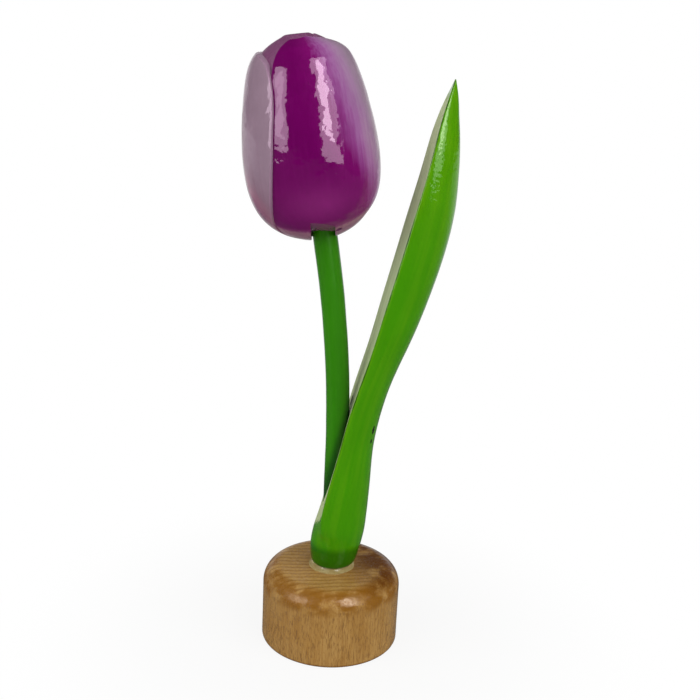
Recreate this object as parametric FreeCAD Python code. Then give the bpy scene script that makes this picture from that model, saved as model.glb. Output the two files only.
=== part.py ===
import FreeCAD, Part

import os
from math import cos, radians, sin, tan

# A carved wooden tulip on a turned beech block, in millimetres, with +Z up.
# The origin is the middle of the block's underside, and the front looks towards -Y.

# Turned block
block_radius = 23.7
block_height = 26.3
block_top_rounding = 6.25
block_foot_rounding = 0.7
block_floor = 11.3              # wood left under the dowel's hole

# Bent dowel
stem_radius = 4.0
stem_straight_length = 41.7     # above the block, before the bend starts
stem_bend_radius = 400.0
stem_lean_degrees = 10.5

# Drilled holes for the dowel
glue_gap = 0.1                  # between the dowel and every hole
head_hole_depth = 15.0
drill_point_degrees = 118.0

# Flower head, carved from one block of wood
head_radius = 21.15
head_length = 62.7
head_lean_degrees = 8.4
head_offset = 1.8               # the head's centre line passes this far beside the dowel
petal_lift = 0.8                # each petal's curve is turned about a centre this far aside
petal_depth = 1.7               # the inner petals lie this far under the outer ones
petal_half_angle = 69.0
petal_centre_angle = 22.0       # of the front petal, from the front towards +X
wedge_tilt_angle = 10.0
crease_width = 1.4
crease_depth = 1.2

# Carved leaf
leaf_length = 164.7
leaf_width = 23.1
leaf_reach = 31.2               # from the dowel's axis to the tip
leaf_foot_radius = 5.8
leaf_tip_size = 0.5

# Ring of hardened glue under the leaf's foot
glue_spread = 0.25              # how far the ring stands out beyond the foot's widest side
glue_toe_height = 0.3
glue_height = 1.9

overrun = 2.0                   # how far a cutting shape runs past what it cuts

# The head's outline from the foot to the crown: share of its length, share of its radius
head_outline_shares = [
    (0.0, 0.26), (0.022, 0.44), (0.072, 0.676), (0.144, 0.852), (0.24, 0.963), (0.37, 1.0),
    (0.5, 0.981), (0.654, 0.915), (0.77, 0.84), (0.85, 0.765), (0.909, 0.665), (0.935, 0.58),
    (0.958, 0.46), (0.978, 0.33), (0.992, 0.18), (1.0, 0.0),
]

# The inner petals' crown: share of the head's length, share of its radius
crown_outline_shares = [
    (0.88, 0.61), (0.91, 0.525), (0.935, 0.43), (0.955, 0.35), (0.977, 0.28),
    (0.996, 0.205), (1.0, 0.155), (0.985, 0.085), (0.955, 0.0),
]

# A petal's two sides from its foot to its tip: share of its height, share of its half angle
petal_right_shares = [
    (0.0, 0.45), (0.1, 0.62), (0.2, 0.79), (0.33, 0.885), (0.49, 0.945), (0.62, 0.975),
    (0.75, 1.0), (0.85, 0.985), (0.93, 0.9), (0.965, 0.74), (0.99, 0.38), (1.0, 0.0),
]
petal_left_shares = [
    (0.0, 1.26), (0.1, 1.22), (0.2, 1.05), (0.33, 0.95), (0.49, 0.89), (0.62, 0.85),
    (0.72, 0.8), (0.8, 0.755), (0.93, 0.715), (0.975, 0.64), (0.993, 0.39), (1.0, 0.0),
]
petal_tip_shares = [0.978, 0.931, 0.965]    # of the head's length: front, left, back

# The leaf from its foot to just under the tip: share of its length, of the reach for the
# inner face and for the back, of the width, and how far the two edges stand back from the
# inner face, as a share of the thickness
leaf_shares = [
    (0.004, -0.215, 0.23, 0.6, 0.5), (0.012, -0.237, 0.256, 0.66, 0.5),
    (0.032, -0.25, 0.285, 0.71, 0.46), (0.071, -0.237, 0.33, 0.745, 0.3),
    (0.113, -0.18, 0.356, 0.775, 0.08), (0.144, -0.13, 0.366, 0.79, 0.02),
    (0.205, -0.042, 0.378, 0.82, -0.03), (0.265, 0.03, 0.392, 0.85, -0.04),
    (0.326, 0.1, 0.44, 0.885, -0.05), (0.387, 0.18, 0.516, 0.925, -0.05),
    (0.478, 0.317, 0.692, 0.97, -0.05), (0.569, 0.436, 0.862, 1.0, -0.05),
    (0.66, 0.555, 0.997, 1.0, -0.05), (0.751, 0.67, 1.087, 0.965, -0.05),
    (0.812, 0.747, 1.103, 0.91, -0.05), (0.872, 0.811, 1.096, 0.8, -0.05),
    (0.921, 0.865, 1.074, 0.615, -0.04), (0.964, 0.93, 1.048, 0.355, -0.03),
    (0.99, 0.976, 1.02, 0.12, -0.02),
]
leaf_turn_degrees = 3.5         # the inner face looks this far towards the front


def point(x, y, z):
    return FreeCAD.Vector(x, y, z)


def arc(start, middle, end):
    return Part.Arc(start, middle, end).toShape()


def spline(points):
    curve = Part.BSplineCurve()
    curve.interpolate(points)
    return curve.toShape()


def solid_of(shape):
    return shape.removeSplitter().Solids[0]


# Places that several pieces share

turn_axis = point(0, 0, 1)
block_hole_depth = block_height - block_floor
bend_height = block_height + stem_straight_length
lean = radians(stem_lean_degrees)
stem_direction = point(-sin(lean), 0, cos(lean))
head_joint = point(
    -stem_bend_radius * (1 - cos(lean)), 0, bend_height + stem_bend_radius * sin(lean)
)
hole_radius = stem_radius + glue_gap


def drilled_hole(mouth, direction, depth, lead):
    """A drill's path: it starts before the mouth and ends in the drill's pointed end."""
    point_height = hole_radius / tan(radians(drill_point_degrees / 2))
    start = mouth - direction * lead
    bore = Part.makeCylinder(hole_radius, depth + lead, start, direction)
    end = Part.makeCone(hole_radius, 0, point_height, mouth + direction * depth, direction)
    return bore.fuse(end)


def base_block():
    """The turned block, with a rounded top edge and a blind hole for the dowel."""
    half = cos(radians(45))
    top = block_top_rounding
    foot = block_foot_rounding
    foot_start = point(block_radius - foot, 0, 0)
    foot_middle = point(block_radius - foot + foot * half, 0, foot - foot * half)
    foot_end = point(block_radius, 0, foot)
    top_start = point(block_radius, 0, block_height - top)
    top_middle = point(block_radius - top + top * half, 0, block_height - top + top * half)
    top_end = point(block_radius - top, 0, block_height)
    outline = Part.Wire([
        Part.makeLine(point(0, 0, 0), foot_start),
        arc(foot_start, foot_middle, foot_end),
        Part.makeLine(foot_end, top_start),
        arc(top_start, top_middle, top_end),
        Part.makeLine(top_end, point(0, 0, block_height)),
        Part.makeLine(point(0, 0, block_height), point(0, 0, 0)),
    ])
    body = Part.Face(outline).revolve(point(0, 0, 0), turn_axis, 360)
    hole = drilled_hole(point(0, 0, block_height), -turn_axis, block_hole_depth, overrun)
    return solid_of(body.cut(hole))


def stem():
    """The dowel: straight in the block and the leaf, bent above, straight in the head."""
    straight = Part.makeCylinder(
        stem_radius, block_hole_depth + stem_straight_length,
        point(0, 0, block_height - block_hole_depth), turn_axis,
    )
    circle = Part.Wire(Part.makeCircle(stem_radius, point(0, 0, bend_height), turn_axis))
    bend = Part.Face(circle).revolve(
        point(-stem_bend_radius, 0, bend_height), point(0, -1, 0), stem_lean_degrees
    )
    end = Part.makeCylinder(stem_radius, head_hole_depth, head_joint, stem_direction)
    return solid_of(straight.fuse([bend, end]))


def turned(outline_shares, tail):
    """A solid of revolution from an outline of shares, closed down its axis."""
    points = [point(head_radius * out, 0, head_length * up) for up, out in outline_shares]
    corners = tail + [points[0]]
    edges = [Part.makeLine(a, b) for a, b in zip(corners, corners[1:])]
    edges.append(spline(points))
    edges.append(Part.makeLine(points[-1], corners[0]))
    return Part.Face(Part.Wire(edges)).revolve(point(0, 0, 0), turn_axis, 360)


def petal_wedge(tip_height, distance):
    """A petal's outline, on a plane that stands at a distance from the head's axis."""
    def side(shares, sign):
        places = []
        for up, out in shares:
            angle = sign * out * petal_half_angle + wedge_tilt_angle
            places.append(point(distance * tan(radians(angle)), -distance, tip_height * up))
        return places

    right = side(petal_right_shares, 1)
    left = side(petal_left_shares, -1)
    right_foot = point(right[0].x, -distance, -overrun)
    left_foot = point(left[0].x, -distance, -overrun)
    return Part.Wire([
        Part.makeLine(right_foot, right[0]),
        spline(right),
        spline(left[::-1]),
        Part.makeLine(left[0], left_foot),
        Part.makeLine(left_foot, right_foot),
    ])


def outer_petal(barrel, tip_height, centre_angle):
    """One outer petal, cut radially out of a barrel that stands a little aside."""
    near = petal_wedge(tip_height, petal_depth)
    far = petal_wedge(tip_height, head_radius + head_radius)
    wedge = Part.makeLoft([near, far], True, True)
    wedge.rotate(point(0, 0, 0), turn_axis, -wedge_tilt_angle)
    shifted = barrel.translated(point(petal_lift, 0, 0))
    petal = shifted.common(wedge)
    petal.rotate(point(0, 0, 0), turn_axis, centre_angle)
    return petal


def inner_crown():
    """The body under the outer petals, whose crown is the three inner petals."""
    shoulder = head_radius * crown_outline_shares[0][1]
    sides = [
        (up, out - petal_depth / head_radius)
        for up, out in head_outline_shares if up < crown_outline_shares[0][0]
    ]
    bottom = point(0, 0, petal_depth)
    outline = [(up + petal_depth / head_length, out) for up, out in sides[:2]] + sides[2:]
    crown = turned(outline + crown_outline_shares, [bottom])
    crown.rotate(point(0, 0, 0), turn_axis, -petal_half_angle)
    crease_top = head_length + overrun
    half_width = crease_width / 2 * (crease_depth + overrun) / crease_depth
    crease = Part.makePolygon([
        point(-half_width, 0, crease_top),
        point(0, 0, head_length - crease_depth),
        point(half_width, 0, crease_top),
        point(-half_width, 0, crease_top),
    ])
    cutter = Part.Face(crease).extrude(point(0, -shoulder, 0))
    for turn in range(3):
        crown = crown.cut(cutter.rotated(
            point(0, 0, 0), turn_axis, petal_centre_angle + turn * 120
        ))
    return crown


def flower_head():
    """Three outer petals, each over the next one's left side, round the inner crown."""
    barrel = turned(head_outline_shares, [point(0, 0, 0)])
    petals = []
    for turn, tip_share in enumerate(petal_tip_shares):
        angle = petal_centre_angle - turn * 120
        petals.append(outer_petal(barrel, head_length * tip_share, angle))
    head = inner_crown().fuse(petals)
    head_lean = radians(head_lean_degrees)
    head.rotate(point(0, 0, 0), point(0, 1, 0), -head_lean_degrees)
    head.translate(head_joint - point(cos(head_lean), 0, sin(head_lean)) * head_offset)
    hole = drilled_hole(head_joint, stem_direction, head_hole_depth, head_radius)
    return solid_of(head.cut(hole))


def leaf_section(share, inner, back, width, set_back):
    """A D across the leaf: the inner face looks to -X, and the back is a round arc."""
    height = block_height + leaf_length * share
    inner_x = leaf_reach * inner
    back_x = leaf_reach * back
    edge_x = inner_x + (back_x - inner_x) * set_back
    half = leaf_width * width / 2
    turn = half * tan(radians(leaf_turn_degrees)) * inner if inner > 0 else 0
    near = point(edge_x + turn, -half, height)
    far = point(edge_x - turn, half, height)
    return Part.Wire([
        arc(near, point(inner_x, 0, height), far),
        arc(far, point(back_x, 0, height), near),
    ])


def leaf_end(centre, radius, height):
    """The round end of the leaf's foot, or its small blunt tip."""
    near = point(centre, -radius, height)
    far = point(centre, radius, height)
    return Part.Wire([
        arc(near, point(centre - radius, 0, height), far),
        arc(far, point(centre + radius, 0, height), near),
    ])


def leaf():
    """The carved leaf: its foot stands on the block, and the dowel runs up through it."""
    sections = [leaf_end(0, leaf_foot_radius, block_height)]
    sections += [leaf_section(*shares) for shares in leaf_shares]
    sections.append(leaf_end(leaf_reach, leaf_tip_size / 2, block_height + leaf_length))
    body = Part.makeLoft(sections, True, False)
    hole = Part.makeCylinder(
        hole_radius, leaf_length / 2 + overrun, point(0, 0, block_height - overrun), turn_axis
    )
    return solid_of(body.cut(hole))


def glue_bead(leaf_shape):
    """The clear ring of glue that fills the corner between the leaf's foot and the block."""
    inner, back, width = leaf_shares[1][1:4]
    foot_radius = max(-leaf_reach * inner, leaf_reach * back, leaf_width * width / 2)
    outer_radius = foot_radius + glue_spread
    toe = point(outer_radius, 0, block_height)
    lip = point(outer_radius, 0, block_height + glue_toe_height)
    crest_radius = outer_radius - glue_height / 2
    crest = point(crest_radius, 0, block_height + glue_height)
    hollow = point(
        (outer_radius + crest_radius) / 2 - glue_toe_height / 2, 0,
        block_height + (glue_toe_height + glue_height) / 2 - glue_toe_height / 2,
    )
    outline = Part.Wire([
        Part.makeLine(point(hole_radius, 0, block_height), toe),
        Part.makeLine(toe, lip),
        arc(lip, hollow, crest),
        Part.makeLine(crest, point(hole_radius, 0, block_height + glue_height)),
        Part.makeLine(
            point(hole_radius, 0, block_height + glue_height),
            point(hole_radius, 0, block_height),
        ),
    ])
    ring = Part.Face(outline).revolve(point(0, 0, 0), turn_axis, 360)
    foot_space = Part.makeCylinder(
        outer_radius + overrun, glue_height + 2 * overrun,
        point(0, 0, block_height - overrun), turn_axis,
    )
    return solid_of(ring.cut(leaf_shape.common(foot_space)))


def main():
    leaf_shape = leaf()
    pieces = {
        "base_block": base_block(),
        "stem": stem(),
        "leaf": leaf_shape,
        "flower_head": flower_head(),
        "glue_bead": glue_bead(leaf_shape),
    }
    os.makedirs("parts", exist_ok=True)
    for name, shape in pieces.items():
        shape.exportStep("parts/" + name + ".step")
        box = shape.BoundBox
        print(name, len(shape.Solids), "solid", shape.isValid(), round(shape.Volume / 1000, 2), "cm3",
              [round(v, 1) for v in (box.XMin, box.XMax, box.YMin, box.YMax, box.ZMin, box.ZMax)])


main()
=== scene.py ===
from math import atan2, cos, pi, radians, sin, tan

import bmesh
import bpy
import numpy as np
from mathutils import Matrix, Vector, kdtree, noise


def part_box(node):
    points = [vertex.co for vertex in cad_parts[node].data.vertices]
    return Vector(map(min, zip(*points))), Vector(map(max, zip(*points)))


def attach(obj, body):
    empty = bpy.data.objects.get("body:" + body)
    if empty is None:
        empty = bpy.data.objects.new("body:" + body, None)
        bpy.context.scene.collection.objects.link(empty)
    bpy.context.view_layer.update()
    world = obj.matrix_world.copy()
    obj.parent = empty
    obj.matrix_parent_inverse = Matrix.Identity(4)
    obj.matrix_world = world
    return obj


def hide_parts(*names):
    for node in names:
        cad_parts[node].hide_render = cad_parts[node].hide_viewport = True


# A carved and painted wooden tulip, glued upright on a varnished beech block.
# Shapes are worked out in millimetres, and the meshes are written in metres.

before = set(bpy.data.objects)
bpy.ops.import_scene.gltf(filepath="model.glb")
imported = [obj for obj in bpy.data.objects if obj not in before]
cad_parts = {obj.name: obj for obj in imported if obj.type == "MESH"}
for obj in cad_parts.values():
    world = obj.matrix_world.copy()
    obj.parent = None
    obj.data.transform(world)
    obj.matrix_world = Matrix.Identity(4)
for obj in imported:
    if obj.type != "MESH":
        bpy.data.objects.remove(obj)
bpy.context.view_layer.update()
print("frame loaded with", len(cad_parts), "pieces")

mm = 0.001


def farCorner(node):
    return Vector(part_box(node)[1]) / mm


blockRadius, _, blockHeight = farCorner("base_block")
leafLength = farCorner("leaf").z - blockHeight
drillPoint = radians(59)      # half the angle of a drill's point
sharpFrom = radians(38)       # an edge that turns more stays sharp


# Curves and meshes

def smoothLine(points, count):
    # a smooth curve through all the points, stepped evenly along its chords
    points = np.array(points, float)
    gaps = np.diff(points, axis=0)
    chords = np.linalg.norm(gaps, axis=1)
    slopes = gaps / chords[:, None]
    last = len(points) - 1
    system = np.eye(last + 1)
    bends = np.zeros_like(points)
    for i in range(1, last):
        system[i, i - 1:i + 2] = chords[i - 1], 2 * (chords[i - 1] + chords[i]), chords[i]
        bends[i] = 6 * (slopes[i] - slopes[i - 1])
    bends = np.linalg.solve(system, bends)
    ends = np.concatenate([[0], np.cumsum(chords)])
    at = np.linspace(0, ends[-1], count)
    span = np.clip(np.searchsorted(ends, at, side="right") - 1, 0, last - 1)
    chord = chords[span][:, None]
    after = (at - ends[span])[:, None]
    before = chord - after
    curved = (bends[span] * before ** 3 + bends[span + 1] * after ** 3) / (6 * chord)
    return curved + (points[span] / chord - bends[span] * chord / 6) * before \
        + (points[span + 1] / chord - bends[span + 1] * chord / 6) * after


def readRows(at, ends, rows):
    # rows of numbers read at places between the ends that they belong to
    return np.stack([np.interp(at, ends, column) for column in rows.T], -1)


def alongLine(line, shares):
    # points of a line at shares of its length
    lengths = np.linalg.norm(np.diff(line, axis=0), axis=1)
    at = np.concatenate([[0], np.cumsum(lengths)])
    at /= at[-1]
    return readRows(shares, at, line)


def swell(places, size, depth, seed):
    # the soft unevenness of hand work: bumps of a size, never above the surface
    shift = Vector((seed * 13.7, seed * 7.3, seed * 3.1))
    bumps = [noise.noise(Vector(place) / size + shift) for place in places.reshape(-1, 3)]
    return (np.array(bumps).reshape(places.shape[:-1]) - 1) * depth / 2


def roundAngles(count):
    return np.linspace(0, 2 * pi, count, endpoint=False)


def loopFaces(rows, columns, capped=False):
    # quads between neighbouring loops of points, and the two ends where they are capped
    faces = []
    for i in range(0, (rows - 1) * columns, columns):
        for j in range(columns):
            k = (j + 1) % columns
            faces.append((i + j, i + k, i + columns + k, i + columns + j))
    if capped:
        faces.append(tuple(range(columns))[::-1])
        faces.append(tuple((rows - 1) * columns + j for j in range(columns)))
    return faces


def addObject(name, data):
    thing = bpy.data.objects.new(name, data)
    bpy.context.collection.objects.link(thing)
    return thing


def makePiece(name, places, faces, marks):
    # marks are numbers or vectors for each point, which the materials read
    mesh = bpy.data.meshes.new(name)
    mesh.from_pydata((places.reshape(-1, 3) * mm).tolist(), [], faces)
    corners = np.zeros(len(mesh.loops), int)
    mesh.loops.foreach_get("vertex_index", corners)
    for label, values in marks.items():
        values = np.asarray(values, np.float32)
        kind, field = ("FLOAT", "value") if values.ndim == 1 else ("FLOAT_VECTOR", "vector")
        mark = mesh.attributes.new(label, kind, "CORNER")
        mark.data.foreach_set(field, values[corners].ravel())
    mesh.validate()
    shape = bmesh.new()
    shape.from_mesh(mesh)
    bmesh.ops.recalc_face_normals(shape, faces=shape.faces)
    shape.to_mesh(mesh)
    shape.free()
    return addObject(name, mesh)


def dropCrumbs(mesh):
    # a cut can split off slivers of a few faces, so only the largest part is kept
    shape = bmesh.new()
    shape.from_mesh(mesh)
    left, parts = set(shape.verts), []
    while left:
        part = [left.pop()]
        for vertex in part:
            near = {edge.other_vert(vertex) for edge in vertex.link_edges} & left
            left -= near
            part.extend(near)
        parts.append(part)
    parts.sort(key=len)
    bmesh.ops.delete(shape, geom=[vertex for part in parts[:-1] for vertex in part], context="VERTS")
    shape.to_mesh(mesh)
    shape.free()


def cutAndJoin(piece, joined=(), cut=()):
    # one closed solid from a piece, what is joined to it and what is cut from it
    helpers = [(other, "UNION") for other in joined] + [(other, "DIFFERENCE") for other in cut]
    for other, kind in helpers:
        step = piece.modifiers.new(other.name, "BOOLEAN")
        step.operation = kind
        step.solver = "MANIFOLD"
        step.object = other
    graph = bpy.context.evaluated_depsgraph_get()
    whole = bpy.data.meshes.new_from_object(piece.evaluated_get(graph))
    dropCrumbs(whole)
    piece.modifiers.clear()
    piece.data = whole
    for other, kind in helpers:
        bpy.data.objects.remove(other)
    return piece


def finishPiece(piece, finish, node):
    mesh = piece.data
    mesh.shade_smooth()
    mesh.set_sharp_from_angle(angle=sharpFrom)
    mesh.materials.clear()
    mesh.materials.append(newMaterial(finish))
    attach(piece, "root")
    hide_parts(node)
    print(piece.name, "has", len(mesh.polygons), "faces")


def turnedPiece(name, profile, columns, unevenness, marks=None):
    # a solid of revolution from its profile, which starts and ends on the axis
    profile = np.array(profile)
    angles = roundAngles(columns)
    rings = profile[1:-1]
    outward = np.stack([np.cos(angles), np.sin(angles), np.zeros(columns)], -1)
    places = rings[:, 0, None, None] * outward + rings[:, 1, None, None] * np.array([0, 0, 1])
    places = places + outward * unevenness(places)[..., None]
    rows = len(rings)
    faces = loopFaces(rows, columns)
    bottom, top = rows * columns, rows * columns + 1
    for j in range(columns):
        k = (j + 1) % columns
        faces.append((bottom, k, j))
        faces.append((top, (rows - 1) * columns + j, (rows - 1) * columns + k))
    ends = np.array([[0, 0, profile[0, 1]], [0, 0, profile[-1, 1]]])
    places = np.concatenate([places.reshape(-1, 3), ends])
    return makePiece(name, places, faces, marks(places) if marks else {})


# Material helpers

def paintColour(red, green, blue):
    # a colour as it looks, from 0 to 255, turned into the linear values of the nodes
    def linear(value):
        value /= 255
        return value / 12.92 if value <= 0.04045 else ((value + 0.055) / 1.055) ** 2.4
    return linear(red), linear(green), linear(blue), 1.0


def paintColours(colours):
    return {label: paintColour(*colour) for label, colour in colours.items()}


class Given:
    # what a node gives, which can be added and multiplied where it is a number

    def __init__(self, tree, socket):
        self.tree = tree
        self.socket = socket

    def worked(self, operation, first, second=0.0):
        return fromNode(self.tree, "ShaderNodeMath", {0: first, 1: second}, operation=operation)

    def __add__(self, other):
        return self.worked("ADD", self, other)

    def __sub__(self, other):
        return self.worked("SUBTRACT", self, other)

    def __rsub__(self, other):
        return self.worked("SUBTRACT", other, self)

    def __mul__(self, other):
        return self.worked("MULTIPLY", self, other)

    def __truediv__(self, other):
        return self.worked("DIVIDE", self, other)

    def __rtruediv__(self, other):
        return self.worked("DIVIDE", other, self)


def fillSockets(tree, node, values):
    for name, value in values.items():
        if isinstance(value, Given):
            tree.links.new(value.socket, node.inputs[name])
        else:
            node.inputs[name].default_value = value


def addNode(tree, kind, values=None, **settings):
    node = tree.nodes.new(kind)
    for name, value in settings.items():
        setattr(node, name, value)
    fillSockets(tree, node, values or {})
    return node


def fromNode(tree, kind, values=None, output=0, **settings):
    return Given(tree, addNode(tree, kind, values, **settings).outputs[output])


def allFrom(tree, kind, values=None, **settings):
    node = addNode(tree, kind, values, **settings)
    return {socket.name: Given(tree, socket) for socket in node.outputs}


def axesOf(place):
    return allFrom(place.tree, "ShaderNodeSeparateXYZ", {"Vector": place})


def larger(first, second):
    return first.worked("MAXIMUM", first, second)


def fraction(value):
    return value.worked("FRACT", value)


def lengthOf(place):
    return fromNode(place.tree, "ShaderNodeVectorMath", {0: place}, "Value", operation="LENGTH")


def between(value, low, high, start=0.0, end=1.0):
    # a soft step from start to end while the value goes from low to high
    return fromNode(value.tree, "ShaderNodeMapRange", {
        "Value": value, "From Min": low, "From Max": high, "To Min": start, "To Max": end,
    }, "Result", interpolation_type="SMOOTHSTEP")


def blendColours(share, first, second):
    return fromNode(share.tree, "ShaderNodeMix", {0: share, 6: first, 7: second}, 2, data_type="RGBA")


def layered(colour, layers):
    # each layer's share and colour go over the layers before it
    for share, layer in layers:
        colour = blendColours(share, colour, layer)
    return colour


def colourSteps(share, steps):
    node = addNode(share.tree, "ShaderNodeValToRGB", {"Fac": share})
    ramp = node.color_ramp
    while len(ramp.elements) < len(steps):
        ramp.elements.new(0.5)
    for element, (place, colour) in zip(ramp.elements, steps):
        element.position = place
        element.color = paintColour(*colour)
    return Given(share.tree, node.outputs["Color"])


def noiseAt(place, scale, detail=2.0, roughness=0.5):
    return fromNode(place.tree, "ShaderNodeTexNoise", {
        "Vector": place, "Scale": scale, "Detail": detail, "Roughness": roughness,
    }, "Fac")


def stretched(place, sizes):
    # the place divided by a size for each direction, so that noise gets that grain
    return fromNode(place.tree, "ShaderNodeVectorMath", {0: place, 1: sizes}, operation="DIVIDE")


def marked(tree, label, output="Fac"):
    return fromNode(tree, "ShaderNodeAttribute", None, output, attribute_name=label)


def millimetres(tree):
    place = fromNode(tree, "ShaderNodeTexCoord", None, "Object")
    return fromNode(tree, "ShaderNodeVectorMath", {0: place, "Scale": 1 / mm}, operation="SCALE")


def newMaterial(finish):
    # a material with the nodes that the finish adds to it, under the finish's own name
    material = bpy.data.materials.new(finish.__name__)
    material.use_nodes = True
    material.node_tree.nodes.clear()
    finish(material.node_tree)
    return material


def finishSurface(tree, values):
    shader = fromNode(tree, "ShaderNodeBsdfPrincipled", values)
    addNode(tree, "ShaderNodeOutputMaterial", {"Surface": shader})


def bumped(height, depth):
    return fromNode(height.tree, "ShaderNodeBump", {
        "Strength": 1.0, "Distance": depth * mm, "Height": height,
    }, "Normal")


# Effects that several finishes share

noPlace = (0.0, 0.0, 0.0)
grey = (0.5, 0.5, 0.5, 1.0)


def sharedEffect(inputs, outputs):
    # turns an effect into a node group, and its name into a function that adds the group
    # each socket is of its first value's kind: a number, a place or a colour
    kinds = {1: "NodeSocketFloat", 3: "NodeSocketVector", 4: "NodeSocketColor"}

    def grouped(effect):
        group = bpy.data.node_groups.new(effect.__name__, "ShaderNodeTree")
        for way, sockets in (("INPUT", inputs), ("OUTPUT", outputs)):
            for label, value in sockets.items():
                kind = kinds[np.size(value)]
                socket = group.interface.new_socket(name=label, in_out=way, socket_type=kind)
                socket.default_value = value
        given = allFrom(group, "NodeGroupInput")
        made = effect(*(given[label] for label in inputs))
        made = made if len(outputs) > 1 else [made]
        addNode(group, "NodeGroupOutput", dict(zip(outputs, made)))

        def added(*values):
            named = dict(zip(inputs, values))
            made = allFrom(values[0].tree, "ShaderNodeGroup", named, node_tree=group)
            return tuple(made.values()) if len(outputs) > 1 else made[list(outputs)[0]]
        return added
    return grouped


@sharedEffect({"Place": noPlace, "Width": 0.5, "Length": 12.0}, {"Streaks": 0.0, "Patches": 0.0})
def brushed(place, width, length):
    # long thin streaks left by a brush that ran along the piece
    sizes = fromNode(place.tree, "ShaderNodeCombineXYZ", {"X": width, "Y": width, "Z": length})
    drawn = stretched(place, sizes)
    fine = noiseAt(drawn, 1.0, 3.0, 0.6)
    wide = noiseAt(drawn, 0.28)
    return between(fine * 0.6 + wide * 0.4, 0.32, 0.68), between(wide, 0.3, 0.7)


@sharedEffect({"Place": noPlace, "Swell Size": 5.0, "Dust": 0.3}, {"Height": 0.0})
def lacquered(place, swellSize, dust):
    # the slow swell of a thick clear coat, with fine orange peel and a few dust specks
    slow = noiseAt(place, 1.0 / swellSize, 2.0, 0.4)
    peel = noiseAt(place, 0.6) * 0.07
    spots = fromNode(place.tree, "ShaderNodeTexVoronoi", {"Vector": place, "Scale": 0.33}, "Distance")
    few = between(noiseAt(place, 0.11), 0.52, 0.6)
    return slow + peel + between(spots, 0.0, 0.1, 1.0, 0.0) * few * dust


@sharedEffect({"Colour": grey, "Place": noPlace, "Size": 8.0, "Amount": 0.1}, {"Colour": grey})
def drifting(colour, place, size, amount):
    # a colour that drifts a little in depth from place to place
    drift = noiseAt(place, 1.0 / size, 3.0, 0.55) - 0.5
    values = {"Value": drift * amount + 1.0, "Color": colour}
    return fromNode(place.tree, "ShaderNodeHueSaturation", values)


@sharedEffect({"Gap": 1.0, "Place": noPlace, "Width": 0.4, "Raggedness": 0.5}, {"Mask": 0.0})
def edgeBand(gap, place, width, raggedness):
    # an uneven band beside an edge, from the distance to that edge
    edge = width + (noiseAt(place, 0.7, 3.0, 0.6) - 0.5) * raggedness
    return between(gap, edge * 0.5, edge, 1.0, 0.0)


# Flower head: three outer petals over three inner ones, carved from one block of wood

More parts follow.
